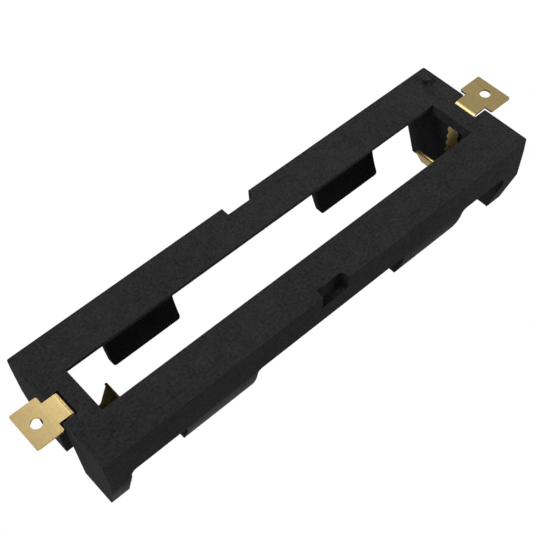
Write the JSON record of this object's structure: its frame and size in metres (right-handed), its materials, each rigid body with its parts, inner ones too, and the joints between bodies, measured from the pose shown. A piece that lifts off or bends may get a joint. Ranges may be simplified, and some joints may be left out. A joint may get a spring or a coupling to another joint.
{
  "type": "cylindrical cell holder",
  "caption": "Surface-mount cradle for a cylindrical cell, with an open floor window, inward-leaning snap arms, and a folded spring contact and flat solder tab at each end.",
  "frame": {"origin": "middle of the housing's footprint, in the plane of the board face", "axes": "+X along the cell towards the end with the positive contact and the locating peg, +Y across the rails, +Z away from the circuit board, the way the cell comes out"},
  "size_m": [0.086, 0.0206, 0.0155],
  "materials": {
    "moulded_plastic": "fine matt texture from the mould",
    "plated_strip": "bright plated sheet metal"
  },
  "bodies": {
    "root": {"housing": "moulded_plastic", "contact_positive": "plated_strip", "contact_negative": "plated_strip"}
  },
  "joints": []
}
